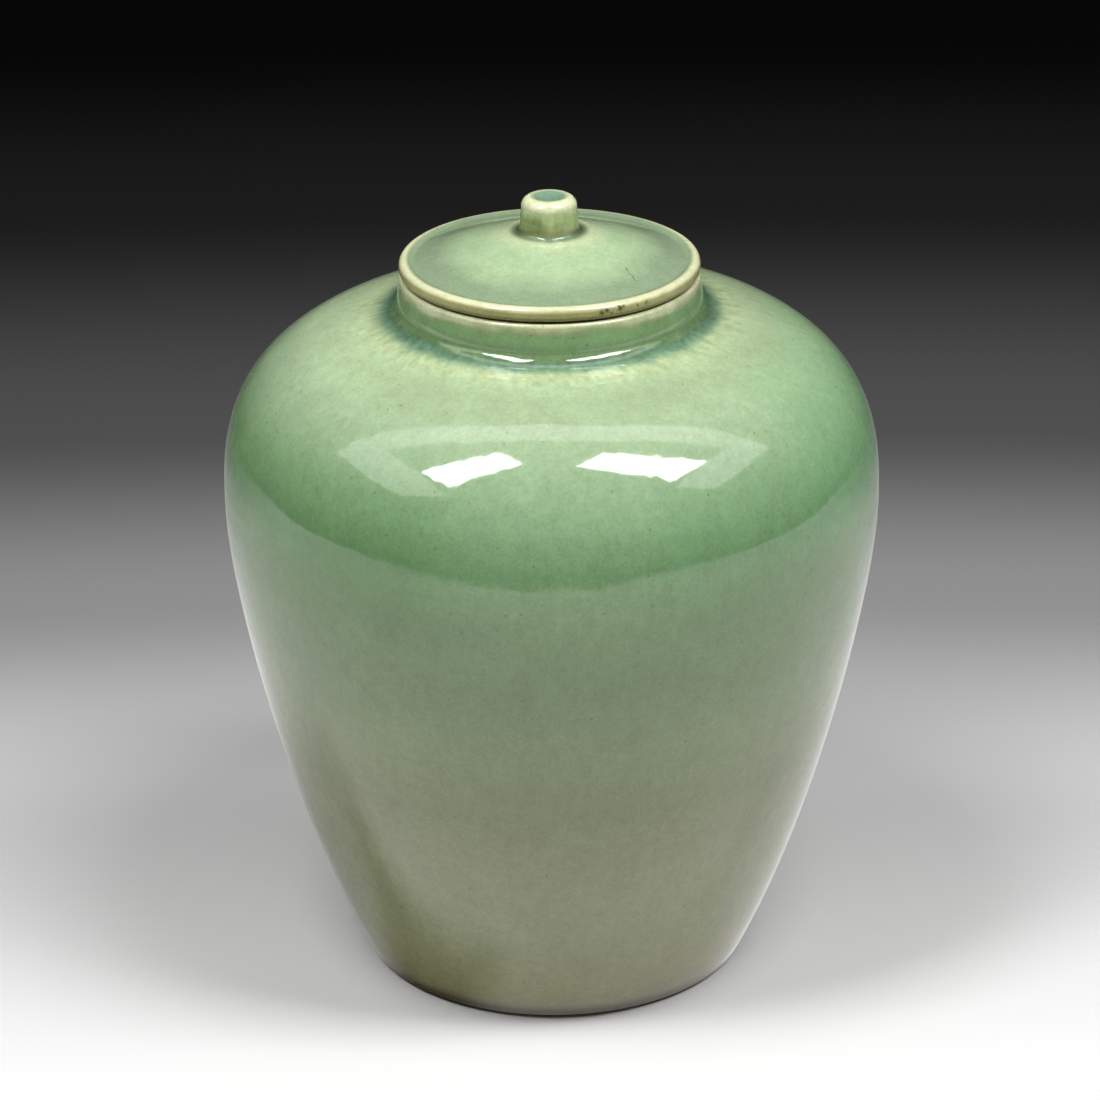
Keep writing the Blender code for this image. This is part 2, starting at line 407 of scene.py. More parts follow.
def graded(stops, place):
    """Colours between stops of (distance, colour)."""
    places = [stop[0] for stop in stops]
    return np.column_stack([np.interp(place, places, [stop[1][k] for stop in stops]) for k in range(3)])


# ---------------------------------------------------------------- turning
def grain_at(points, size, seed):
    """Smooth noise from -1 to 1 at each point, for features of that size."""
    offset = Vector((seed * 7.13, seed * 3.71, seed * 5.37))
    return np.array([noise.noise(Vector(point) / size + offset) for point in points])


def turned(name, outline, turns, uneven=None):
    """A closed mesh: the outline turned round Z. uneven gives each point's shift inwards along its normal."""
    rings = len(outline)
    angles = np.linspace(0, math.tau, turns, endpoint=False)
    cos, sin = np.cos(angles), np.sin(angles)
    radius = np.repeat(outline[:, 0], turns)
    height = np.repeat(outline[:, 1], turns)
    cos, sin = np.tile(cos, rings), np.tile(sin, rings)
    points = np.column_stack((radius * cos, radius * sin, height))
    if uneven is not None:
        flat = np.repeat(normals_of(outline), turns, axis=0)
        shift = uneven(points)
        points[:, 0] -= shift * flat[:, 0] * cos
        points[:, 1] -= shift * flat[:, 0] * sin
        points[:, 2] -= shift * flat[:, 1]
    faces = []
    closed = outline[0][0] > 0
    last = rings if closed else rings - 1
    index = np.arange(rings * turns).reshape(rings, turns)
    if not closed:
        index[0, :] = index[0, 0]
        index[-1, :] = index[-1, 0]
    following = np.roll(index, -1, axis=1)
    for ring in range(last):
        after = (ring + 1) % rings
        corners = np.column_stack((index[ring], following[ring], following[after], index[after]))
        for corner in corners.tolist():
            faces.append(list(dict.fromkeys(corner)))
    mesh = bpy.data.meshes.new(name)
    mesh.from_pydata(points.tolist(), [], faces)
    made = bpy.data.objects.new(name, mesh)
    bpy.context.scene.collection.objects.link(made)
    return made


def points_of(made):
    """Every vertex's place, as rows."""
    places = np.empty(3 * len(made.data.vertices), np.float32)
    made.data.vertices.foreach_get("co", places)
    return places.reshape(-1, 3).astype(float)


def paint(made, colours, bare):
    """Stores each vertex's glaze colour, and how far the clay is bare there, from 0 to 1."""
    mesh = made.data
    tint = mesh.attributes.new("glaze", "FLOAT_COLOR", "POINT")
    whole = np.ones((len(mesh.vertices), 4), np.float32)
    whole[:, :3] = colours
    tint.data.foreach_set("color", whole.ravel())
    clay = mesh.attributes.new("bare", "FLOAT", "POINT")
    clay.data.foreach_set("value", np.full(len(mesh.vertices), bare, np.float32))


def finished(made, material, body, slot, *nodes):
    """Cleans and smooths a piece, gives its finish, ties it to its body and hides its CAD nodes; slot is not
    used.
    """
    mesh = made.data
    mesh.validate()
    drop_loose(mesh)
    mesh.shade_smooth()
    mesh.set_sharp_from_angle(angle=SHARP_ANGLE)
    mesh.materials.append(material)
    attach(made, body)
    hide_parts(*nodes)
    return made


def drop_loose(mesh):
    """Removes the points that the poles no longer use."""
    shape = bmesh.new()
    shape.from_mesh(mesh)
    loose = [vert for vert in shape.verts if not vert.link_faces]
    bmesh.ops.delete(shape, geom=loose, context="VERTS")
    bmesh.ops.recalc_face_normals(shape, faces=shape.faces)
    shape.to_mesh(mesh)
    shape.free()


# ---------------------------------------------------------------- materials
class Nodes:
    """A small builder of node materials."""

    def __init__(self, name):
        self.material = bpy.data.materials.new(name)
        self.material.use_nodes = True
        self.tree = self.material.node_tree
        self.shader = self.tree.nodes["Principled BSDF"]

    def add(self, kind, inputs=None, **settings):
        node = self.tree.nodes.new(kind)
        for key, value in settings.items():
            setattr(node, key, value)
        for key, value in (inputs or {}).items():
            self.put(node.inputs[key], value)
        return node

    def put(self, socket, value):
        if isinstance(value, bpy.types.NodeSocket):
            self.tree.links.new(value, socket)
        else:
            socket.default_value = value

    def math(self, operation, *values, clamp=False):
        node = self.add("ShaderNodeMath", operation=operation, use_clamp=clamp)
        for socket, value in zip(node.inputs, values):
            self.put(socket, value)
        return node.outputs[0]

    def remap(self, value, low, high, to_low=0.0, to_high=1.0):
        inputs = {"Value": value, "From Min": low, "From Max": high, "To Min": to_low, "To Max": to_high}
        return self.add("ShaderNodeMapRange", inputs, interpolation_type="SMOOTHSTEP").outputs["Result"]

    def ramp(self, share, stops, interpolation="LINEAR"):
        """Greys between stops of (distance, grey); share runs from 0 at the first stop to 1 at the last."""
        ramp = self.add("ShaderNodeValToRGB", {"Fac": share})
        ramp.color_ramp.interpolation = interpolation
        elements = ramp.color_ramp.elements
        while len(elements) < len(stops):
            elements.new(0.5)
        first, last = stops[0][0], stops[-1][0]
        for element, (distance, grey) in zip(elements, stops):
            element.position = (distance - first) / (last - first)
            element.color = (grey, grey, grey, 1.0)
        return ramp.outputs["Color"]

    def moved(self, vector, x, y):
        return self.add("ShaderNodeMapping", {"Vector": vector, "Location": (x, y, 0.0)}).outputs["Vector"]

    def mix(self, share, first, second, blend="MIX"):
        node = self.add("ShaderNodeMix", data_type="RGBA", blend_type=blend)
        for key, value in (("Factor_Float", share), ("A_Color", first), ("B_Color", second)):
            socket = next(found for found in node.inputs if found.identifier == key)
            self.put(socket, value)
        return next(found for found in node.outputs if found.identifier == "Result_Color")

    def scaled(self, vector, scale):
        return self.add("ShaderNodeMapping", {"Vector": vector, "Scale": scale}).outputs["Vector"]

    def noise(self, vector, size, detail=2.0, roughness=0.5):
        inputs = {"Vector": vector, "Scale": 1 / size, "Detail": detail, "Roughness": roughness}
        return self.add("ShaderNodeTexNoise", inputs).outputs["Fac"]

    def spots(self, vector, spacing, radius, share, soft=0.35):
        """1 inside sparse round spots: one cell in so many holds a spot."""
        inputs = {"Vector": vector, "Scale": 1 / spacing, "Randomness": 0.9}
        cells = self.add("ShaderNodeTexVoronoi", inputs)
        picked = self.add("ShaderNodeSeparateColor", {"Color": cells.outputs["Color"]})
        size = self.math("MULTIPLY", picked.outputs["Green"], radius / spacing)
        past = self.math("SUBTRACT", cells.outputs["Distance"], size)
        inside = self.remap(past, 0.0, -soft * radius / spacing)
        chosen = self.math("LESS_THAN", picked.outputs["Red"], share)
        return self.math("MULTIPLY", inside, chosen)


def blended(colours, other, share):
    """Rows of colours moved towards one other colour by each row's share."""
    return colours * (1 - share[:, None]) + np.array(other) * share[:, None]


def rgba(colour):
    return (*colour, 1.0)


def celadon(name, mottle=1.0, iron_depth=0.50, scratch=None):
    """Glossy mottled glaze over the painted colour, with flecks, runs, iron specks and maybe a scratch."""
    g = Nodes(name)
    place = g.add("ShaderNodeTexCoord").outputs["Object"]
    tint = g.add("ShaderNodeAttribute", attribute_name="glaze").outputs["Color"]
    bare = g.add("ShaderNodeAttribute", attribute_name="bare").outputs["Fac"]

    grain = g.noise(place, size=0.0009, detail=2.0, roughness=0.6)
    patch = g.noise(place, size=0.0030, detail=2.0, roughness=0.5)
    cool = g.remap(patch, 0.35, 0.65, 0.0, 0.5 * mottle)
    colour = g.mix(cool, tint, rgba(COOL_FLECK), "MULTIPLY")
    cloud = g.noise(place, size=0.011, detail=3.0, roughness=0.55)
    runs = g.noise(g.scaled(place, (1.0, 1.0, 0.12)), size=0.0022, detail=2.0, roughness=0.5)
    shade = g.remap(cloud, 0.35, 0.68, 0.97, 1.03)
    for value, depth in ((grain, 0.42), (patch, 0.30), (runs, 0.16)):
        change = g.math("MULTIPLY", g.math("SUBTRACT", value, 0.5), depth * mottle)
        shade = g.math("ADD", shade, change)
    grey = g.add("ShaderNodeCombineColor", {"Red": shade, "Green": shade, "Blue": shade})
    colour = g.mix(1.0, colour, grey.outputs["Color"], "MULTIPLY")

    iron = g.spots(place, spacing=0.0034, radius=0.00060, share=0.50)
    dust = g.spots(place, spacing=0.0013, radius=0.00022, share=0.50)
    specks = g.math("MAXIMUM", g.math("MULTIPLY", iron, iron_depth), g.math("MULTIPLY", dust, 0.45))
    if scratch is not None:
        specks = g.math("MAXIMUM", specks, scratch_mask(g, place, scratch))
    colour = g.mix(specks, colour, rgba(IRON_SPOT))

    clay_grain = g.noise(place, size=0.0006, detail=4.0, roughness=0.7)
    clay = g.mix(g.remap(clay_grain, 0.35, 0.7), rgba(tuple(0.72 * c for c in CLAY)), rgba(CLAY))
    clay = g.mix(0.5, clay, tint)
    colour = g.mix(bare, colour, clay)
    g.put(g.shader.inputs["Base Color"], colour)

    gloss = g.remap(g.noise(place, size=0.004, detail=3.0, roughness=0.6), 0.3, 0.7, 0.055, 0.095)
    g.put(g.shader.inputs["Roughness"], g.math("MULTIPLY_ADD", bare, 0.65, gloss, clamp=True))
    g.shader.inputs["IOR"].default_value = 1.55

    skin = g.noise(place, size=0.0045, detail=1.0, roughness=0.4)
    fine = g.noise(place, size=0.0012, detail=2.0, roughness=0.5)
    height = g.math("MULTIPLY_ADD", fine, 0.06, skin)
    height = g.math("MULTIPLY_ADD", specks, -0.20, height)
    height = g.math("MULTIPLY_ADD", g.math("MULTIPLY", clay_grain, bare), 0.8, height)
    bump = g.add("ShaderNodeBump", {"Height": height, "Distance": 0.00016, "Strength": 0.35})
    g.put(g.shader.inputs["Normal"], bump.outputs["Normal"])
    return g.material


def scratch_mask(g, place, line):
    """1 along a hairline from one point of the lid to another, broken up by noise."""
    start, end = Vector(line[0]), Vector(line[1])
    run = end - start
    turn = -math.atan2(run.y, run.x)
    moved = g.moved(place, -start.x, -start.y)
    laid = g.add("ShaderNodeMapping", {"Vector": moved, "Rotation": (0.0, 0.0, turn)}).outputs["Vector"]
    parts = g.add("ShaderNodeSeparateXYZ", {"Vector": laid})
    wander = g.remap(g.noise(place, size=0.003), 0.3, 0.7, -0.0004, 0.0004)
    across = g.math("ABSOLUTE", g.math("ADD", parts.outputs["Y"], wander))
    thin = g.remap(across, 0.00022, 0.00008)
    begun = g.remap(parts.outputs["X"], 0.0, 0.0006)
    ended = g.remap(parts.outputs["X"], run.length, run.length - 0.002)
    broken = g.remap(g.noise(place, size=0.0012), 0.38, 0.55, 0.35, 1.0)
    return g.math("MULTIPLY", g.math("MULTIPLY", thin, begun), g.math("MULTIPLY", ended, broken))


def bare_clay(name):
    """Buff stoneware body: sandy grain, iron specks and darker smudges."""
    g = Nodes(name)
    place = g.add("ShaderNodeTexCoord").outputs["Object"]
    tint = g.add("ShaderNodeAttribute", attribute_name="glaze").outputs["Color"]
    grain = g.noise(place, size=0.0007, detail=4.0, roughness=0.7)
    colour = g.mix(g.remap(grain, 0.35, 0.68), rgba(DARK_SAND), rgba(PALE_SAND))
    colour = g.mix(1.0, tint, colour, "MULTIPLY")
    smudge = g.remap(g.noise(place, size=0.009, detail=3.0), 0.52, 0.72, 0.0, 0.45)
    colour = g.mix(smudge, colour, rgba(SMUDGE))
    specks = g.spots(place, spacing=0.0032, radius=0.0004, share=0.4)
    colour = g.mix(g.math("MULTIPLY", specks, 0.7), colour, rgba(CLAY_SPECK))
    g.put(g.shader.inputs["Base Color"], colour)
    g.put(g.shader.inputs["Roughness"], g.remap(grain, 0.3, 0.7, 0.78, 0.92))
    bump = g.add("ShaderNodeBump", {"Height": grain, "Distance": 0.00012, "Strength": 0.6})
    g.put(g.shader.inputs["Normal"], bump.outputs["Normal"])
    return g.material


# ---------------------------------------------------------------- the jar
def outer_line():
    """The outer face from the top of the crease down to the lower edge of the glaze."""
    crease = bezier(
        (COLLAR_BASE_RADIUS, STUB_TOP_Z),
        (COLLAR_BASE_RADIUS, STUB_TOP_Z - POOL_EASE),
        (SHOULDER_TOP_RADIUS - POOL_EASE, SHOULDER_TOP_Z + POOL_EASE / 6),
        (SHOULDER_TOP_RADIUS, SHOULDER_TOP_Z),
        20,
    )
    shoulder = bezier(
        (SHOULDER_TOP_RADIUS, SHOULDER_TOP_Z),
        (BELLY_RADIUS, SHOULDER_TOP_Z - SHOULDER_FALL),
        (BELLY_RADIUS, BELLY_Z + ABOVE_BELLY),
        (BELLY_RADIUS, BELLY_Z),
        64,
    )
    lower = bezier(
        (BELLY_RADIUS, BELLY_Z),
        (BELLY_RADIUS, BELLY_Z - BELOW_BELLY),
        (FOOT_EDGE_RADIUS + FOOT_FLARE, FOOT_EDGE_Z + FOOT_FLARE_RISE),
        (FOOT_EDGE_RADIUS, FOOT_EDGE_Z),
        76,
    )
    return joined(crease, shoulder, lower)


def body_uneven(points):
    """Slow swells and faint wheel marks, fading out at the neck and the foot, and ripples in the pool."""
    height = points[:, 2]
    fade = within((FOOT_EDGE_Z, FOOT_EDGE_Z + 0.012, SHOULDER_TOP_Z - 0.004, STUB_TOP_Z), height)
    swell = BODY_SWELL * (0.5 + 0.5 * grain_at(points, BODY_SWELL_SIZE, seed=1))
    phase = math.tau * height / WHEEL_MARK_PITCH + 2 * grain_at(points, size=0.05, seed=2)
    marks = WHEEL_MARK * (0.5 + 0.5 * np.sin(phase))
    ripple = BODY_RIPPLE * (0.5 + 0.5 * grain_at(points, BODY_RIPPLE_SIZE, seed=7))
    pool = within((SHOULDER_TOP_Z - 0.0025, SHOULDER_TOP_Z, STUB_TOP_Z - 0.001, STUB_TOP_Z), height)
    streaks = POOL_RIPPLE * (0.5 + 0.5 * grain_at(points, POOL_RIPPLE_SIZE, seed=9))
    return fade * (swell + marks + ripple) + pool * streaks


def jar_body():
    """The hollow body with its glaze pooled in the crease under the neck."""
    outer = outer_line()
    wall = outer - WALL * normals_of(outer)
    wall = wall[(wall[:, 1] > FLOOR_Z + FLOOR_FILLET) & (wall[:, 1] < SHOULDER_TOP_Z - WALL)][::3]
    low = wall[-1]
    floor = bezier(
        low,
        (low[0] - FLOOR_FILLET / 2, FLOOR_Z + FLOOR_FILLET / 5),
        (low[0] - FLOOR_FILLET, FLOOR_Z),
        (low[0] - 3 * FLOOR_FILLET, FLOOR_Z),
        16,
    )
    channel = FOOT_RING_OUTER + FIT_GAP
    ceiling = FOOT_RING_HEIGHT + FIT_GAP
    under = joined(
        arc((FOOT_EDGE_RADIUS - GLAZE_EDGE, FOOT_EDGE_Z), GLAZE_EDGE, 0, -90, 4),
        (channel + FIT_GAP, FOOT_EDGE_Z - GLAZE_EDGE),
        (channel, FOOT_EDGE_Z),
        (channel, ceiling),
        straight((channel, ceiling), (0, ceiling), 16),
    )
    neck_inside = COLLAR_BASE_RADIUS - COLLAR_WALL
    inside = joined(
        straight((0, FLOOR_Z), floor[-1], 8),
        floor[::-1],
        wall[::-1],
        bezier(
            wall[0],
            wall[0] + np.array(THROAT_TURN),
            (neck_inside, STUB_TOP_Z - THROAT_EASE),
            (neck_inside, STUB_TOP_Z),
            8,
        ),
        (neck_inside, STUB_TOP_Z),
    )
    outline = joined(inside, outer, under)
    made = turned("jar_body_glaze", outline, BODY_TURNS, body_uneven)
    first, end = len(inside), len(inside) + len(outer)
    colours = np.tile(np.array(BODY_INSIDE), (len(outline), 1))
    # painted shade: the glaze's lower edge and the body's underside take the darkened foot clay
    colours[end:] = FOOT_CLAY_SHADED
    bare = np.zeros(len(outline))
    bare[end + 2 :] = 1.0
    spread = np.repeat(colours, BODY_TURNS, axis=0)
    glazed = slice(first * BODY_TURNS, end * BODY_TURNS)
    spread[glazed] = body_colours(points_of(made)[glazed], np.repeat(travelled(outer), BODY_TURNS))
    paint(made, spread, np.repeat(bare, BODY_TURNS))
    return made


def body_colours(points, place):
    """The outer face's colours from each point's distance down it, torn and blotched round the pool, with
    painted shade on the shoulder's sides.
    """
    near = within(POOL_SPAN, place)
    wander = POOL_WANDER * grain_at(points, size=0.0070, seed=4)
    wander += POOL_TEAR * grain_at(points, size=0.0019, seed=6)
    blotch = 1 + near * POOL_BLOTCH * grain_at(points, size=0.0016, seed=8)
    swell = 1 + 0.03 * grain_at(points, size=0.02, seed=3)
    colours = graded(BODY_STOPS, place + near * wander) * (blotch * swell)[:, None]
    # painted shade on the shoulder's sides, from the colour change round the jar
    return colours * side_shade_and_tint(points, place)


def side_shade_and_tint(points, place):
    """How much the glaze's colour changes with the direction from the axis, as a factor: painted shade on the
    shoulder's sides, and a tint elsewhere.
    """
    turn = np.degrees(np.arctan2(points[:, 0], -points[:, 1]))
    change = np.zeros((len(place), 3))
    for turns, places, amount in SIDE_SHADE_AND_TINT:
        share = within(turns, turn) * within(places, place)
        change += share[:, None] * np.array(amount)
    return 1 + change


def neck():
    """The upright collar, thin-glazed at its lip."""
    edge_z = COLLAR_TOP_Z - EDGE_ROUND
    inner = COLLAR_RADIUS - COLLAR_WALL
    inset, below = COLLAR_SEAT
    outline = joined(
        arc((COLLAR_RADIUS - EDGE_ROUND, edge_z), EDGE_ROUND, 90, 0, 8),
        bezier(
            (COLLAR_RADIUS, edge_z),
            (COLLAR_RADIUS, edge_z - COLLAR_EASE),
            (COLLAR_BASE_RADIUS, STUB_TOP_Z + COLLAR_EASE),
            (COLLAR_BASE_RADIUS, STUB_TOP_Z),
            14,
        ),
        (COLLAR_BASE_RADIUS - inset, STUB_TOP_Z - below),
        (COLLAR_BASE_RADIUS - COLLAR_WALL + inset, STUB_TOP_Z - below),
        straight((COLLAR_BASE_RADIUS - COLLAR_WALL, STUB_TOP_Z), (inner, edge_z), 8),
        arc((inner + EDGE_ROUND, edge_z), EDGE_ROUND, 180, 90, 8),
    )
    made = turned("neck_glaze", outline, RIM_TURNS)
    height = outline[:, 1]
    points = points_of(made)
    drip = NECK_DRIP * grain_at(points * (1, 1, 0.3), size=0.006, seed=11)
    blotch = 1 + NECK_BLOTCH * grain_at(points * (1, 1, 0.4), size=0.007, seed=12)
    spread = graded(NECK_STOPS, np.repeat(height, RIM_TURNS) + drip) * blotch[:, None]
    paint(made, spread, 0.0)
    return made


def foot():
    """The bare ring that the jar stands on, its clay darkened with painted shade."""
    worn = FOOT_WORN
    outline = joined(
        (FOOT_RING_OUTER, FOOT_RING_HEIGHT),
        straight((FOOT_RING_OUTER, FOOT_RING_HEIGHT), (FOOT_RING_OUTER, worn), 6),
        arc((FOOT_RING_OUTER - worn, worn), worn, 0, -90, 5),
        straight((FOOT_RING_OUTER - worn, 0), (FOOT_RING_INNER + worn, 0), 6),
        arc((FOOT_RING_INNER + worn, worn), worn, -90, -180, 5),
        straight((FOOT_RING_INNER, worn), (FOOT_RING_INNER, FOOT_RING_HEIGHT), 6),
    )
    made = turned("foot_clay", outline, RIM_TURNS)
    paint(made, np.tile(np.array(FOOT_CLAY_SHADED), (len(outline) * RIM_TURNS, 1)), 1.0)
    return made


# ---------------------------------------------------------------- the lid
def chips(points):
    """1 inside each small chip in the lid's rim, with ragged sides, and 0 away from them."""
    worn = np.zeros(len(points))
    ragged = 1 + 0.6 * grain_at(points, size=0.0007, seed=14)
    for degrees, height, size in RIM_CHIPS:
        turn = math.radians(degrees)
        centre = (LID_RADIUS * math.sin(turn), -LID_RADIUS * math.cos(turn), height)
        away = np.linalg.norm(points - centre, axis=1) * ragged
        worn = np.maximum(worn, smooth(size, size / 3, away))
    return worn


def lid_uneven(points):
    """Slow swells, and the chips in the rim."""
    return LID_SWELL * (0.5 + 0.5 * grain_at(points, LID_SWELL_SIZE, seed=5)) + CHIP_DEPTH * chips(points)


def lid():
    """The crowned plate with its moat round the knob, its valley and its rounded rim."""
    valley_z = LID_RIM_Z - LID_VALLEY_DEPTH
    moat_z = LID_CROWN_Z - MOAT_DEPTH
    slope = bezier(
        (LID_CROWN_RADIUS, LID_CROWN_Z),
        (LID_CROWN_RADIUS + LID_CROWN_REACH, LID_CROWN_Z - LID_CROWN_FALL),
        (LID_VALLEY_RADIUS - LID_VALLEY_REACH, valley_z + LID_VALLEY_RISE),
        (LID_VALLEY_RADIUS, valley_z),
        60,
    )
    edge_radius = LID_RADIUS - LID_EDGE_ROUND
    rim_top = bezier(
        (LID_VALLEY_RADIUS, valley_z),
        (LID_VALLEY_RADIUS + RIM_EASE, valley_z),
        (edge_radius - RIM_EASE, LID_RIM_Z),
        (edge_radius, LID_RIM_Z),
        14,
    )
    hollow_radius = FLANGE_INNER - 2 * FIT_GAP
    hollow_z = LID_CROWN_Z - LID_WALL
    outline = joined(
        straight((0, moat_z), (KNOB_RADIUS, moat_z), 6),
        bezier(
            (KNOB_RADIUS, moat_z),
            (MOAT_RADIUS, moat_z),
            (MOAT_RADIUS + MOAT_EASE, slope[1][1]),
            slope[2],
            14,
        ),
        slope[3:],
        rim_top,
        arc((edge_radius, LID_RIM_Z - LID_EDGE_ROUND), LID_EDGE_ROUND, 90, 0, 12),
        arc((edge_radius, LID_UNDERSIDE_Z + LID_EDGE_ROUND), LID_EDGE_ROUND, 0, -90, 10),
        straight((edge_radius, LID_UNDERSIDE_Z), (hollow_radius, LID_UNDERSIDE_Z), 10),
        bezier(
            (hollow_radius, LID_UNDERSIDE_Z),
            (hollow_radius - LID_VALLEY_REACH, LID_UNDERSIDE_Z + LID_HOLLOW_RISE),
            (hollow_radius / 2, hollow_z),
            (0, hollow_z),
            24,
        ),
    )
    made = turned("lid_glaze", outline, RIM_TURNS, lid_uneven)
    radius, height = outline[:, 0], outline[:, 1]
    top = np.arange(len(outline)) < int(np.argmax(radius))
    below = ~top & (radius < edge_radius + CLAY_REACH)
    under_glaze = ~top & (radius < hollow_radius - CLAY_BAND)
    wide, high = np.repeat(radius, RIM_TURNS), np.repeat(height, RIM_TURNS)
    spread = lid_colours(points_of(made), wide, high, edge_radius)
    spread[np.repeat(below, RIM_TURNS)] = CLAY
    spread[np.repeat(under_glaze, RIM_TURNS)] = BODY_INSIDE
    bare = np.where(below & ~under_glaze, 1.0, 0.0)
    paint(made, spread, np.repeat(bare, RIM_TURNS))
    return made


def lid_colours(points, wide, high, edge_radius):
    """Colours of the lid's top and edge: painted shade on its back, painted shade and dark reflection in the
    moat beside the knob, and grit in the chips.
    """
    from_axis = np.maximum(wide, TINY)
    wander = within(BAND_SPAN, wide) * BAND_WANDER * grain_at(points, size=0.0075, seed=10)
    upper = graded(LID_STOPS, wide + wander)
    edge = graded(RIM_STOPS, high + RIM_WANDER * grain_at(points, size=0.004, seed=13))
    on_edge = smooth(edge_radius - EDGE_BLEND, edge_radius + EDGE_BLEND, wide)[:, None]
    spread = upper * (1 - on_edge) + edge * on_edge
    # painted shade on the lid's back
    behind = smooth(*BACK_SHADE_TURN, points[:, 1] / from_axis) * smooth(*BACK_SHADE_REACH, wide)
    spread = blended(spread, BACK_SHADE_GREEN, BACK_SHADE_SHARE * behind)
    # painted shade and dark reflection in the moat, at the knob's left and right
    beside = smooth(*SIDES_IN_SHADE, np.abs(points[:, 0]) / from_axis)
    spread = blended(spread, KNOB_SHADE, MOAT_SHADE_SHARE * beside * smooth(*MOAT_SHADE_REACH, wide))
    return blended(spread, GRIT, chips(points))


def flange():
    """The bare locating ring under the lid."""
    low = FLANGE_LOW_Z + EDGE_ROUND
    outer_low = FLANGE_OUTER - FLANGE_TAPER
    top = LID_UNDERSIDE_Z - FIT_GAP
    outline = joined(
        straight((FLANGE_OUTER, top), (outer_low, low), 8),
        arc((outer_low - EDGE_ROUND, low), EDGE_ROUND, 0, -90, 8),
        arc((FLANGE_INNER + EDGE_ROUND, low), EDGE_ROUND, -90, -180, 8),
        straight((FLANGE_INNER, low), (FLANGE_INNER, top), 8),
        straight((FLANGE_INNER, top), (FLANGE_OUTER, top), 4),
    )[:-1]
    made = turned("lid_flange_clay", outline, RIM_TURNS)
    paint(made, np.tile(np.array(CLAY), (len(outline) * RIM_TURNS, 1)), 1.0)
    return made


def knob():
    """The finger knob: thin glaze on its shoulder, a pool in its dish and a fillet at its foot."""
    shoulder = KNOB_TOP_RADIUS - KNOB_EDGE_ROUND
    side_z = KNOB_TOP_Z - KNOB_EDGE_ROUND
    moat_z = LID_CROWN_Z - MOAT_DEPTH
    outline = joined(
        bezier(
            (0, KNOB_TOP_Z - KNOB_DISH_DEPTH),
            (shoulder / 2, KNOB_TOP_Z - KNOB_DISH_DEPTH),
            (shoulder * 3 / 4, KNOB_TOP_Z),
            (shoulder, KNOB_TOP_Z),
            20,
        ),
        arc((shoulder, side_z), KNOB_EDGE_ROUND, 90, 0, 14),
        bezier(
            (KNOB_TOP_RADIUS, side_z),
            (KNOB_TOP_RADIUS, side_z - KNOB_EASE),
            (KNOB_RADIUS, KNOB_BASE_Z + KNOB_WIDEST + KNOB_WIDEST_EASE),
            (KNOB_RADIUS, KNOB_BASE_Z + KNOB_WIDEST),
            12,
        ),
        bezier(
            (KNOB_RADIUS, KNOB_BASE_Z + KNOB_WIDEST),
            (KNOB_RADIUS, KNOB_BASE_Z + 0.0006),
            (KNOB_RADIUS, moat_z + 0.0004),
            (KNOB_RADIUS + KNOB_FILLET, moat_z - 0.0001),
            16,
        ),
        (KNOB_RADIUS, moat_z - KNOB_SEAT),
        (0, moat_z - KNOB_SEAT),
    )
    made = turned("knob_glaze", outline, KNOB_TURNS)
    along = np.repeat(travelled(outline), KNOB_TURNS)
    paint(made, knob_colours(points_of(made), along), 0.0)
    return made


def knob_colours(points, along):
    """Colours of the knob: olive streaks down its side, most at the left, and painted shade on its foot at
    both sides.
    """
    across, back = points[:, 0], points[:, 1]
    streak = 0.6 * grain_at(points * (1, 1, 0.22), size=0.0028, seed=15)
    streak += 0.4 * grain_at(points * (1, 1, 0.3), size=0.0011, seed=16)
    low_left = smooth(*PATCH_LEFT, across) * smooth(*PATCH_FROM, along) * smooth(*PATCH_FRONT, back)
    olive = np.clip(KNOB_STREAK * (streak + 0.18 + 0.8 * low_left), 0, 0.9)
    spread = blended(graded(KNOB_STOPS, along), OLIVE_PATCH, within(KNOB_SIDE, along) * olive)
    # painted shade at both sides of the knob's foot
    beside = smooth(*SIDES_IN_SHADE, np.abs(across) / np.maximum(np.hypot(across, back), TINY))
    return blended(spread, KNOB_SHADE, KNOB_FOOT_SHADE_SHARE * beside * smooth(*KNOB_FOOT_SHADE, along))


# ---------------------------------------------------------------- the studio
def sheet(name, corners, height):
    """A flat sheet from its corners in plan."""
    mesh = bpy.data.meshes.new(name)
    mesh.from_pydata([(x, y, height) for x, y in corners], [], [tuple(range(len(corners)))])
    made = bpy.data.objects.new(name, mesh)
    bpy.context.scene.collection.objects.link(made)
    return made


def glowing(name, strength):
    """A material that only gives light."""
    made = bpy.data.materials.new(name)
    made.use_nodes = True
    nodes = made.node_tree.nodes
    nodes.clear()
    glow = nodes.new("ShaderNodeEmission")
    glow.inputs["Strength"].default_value = strength
    out = nodes.new("ShaderNodeOutputMaterial")
    made.node_tree.links.new(glow.outputs[0], out.inputs["Surface"])
    return made


def ellipse(centre, wide, deep, count=96):
    """Corners of an ellipse in plan, from its two half axes."""
    angles = np.linspace(0, math.tau, count, endpoint=False)
    return [(centre[0] + wide * math.cos(a), centre[1] + deep * math.sin(a)) for a in angles]


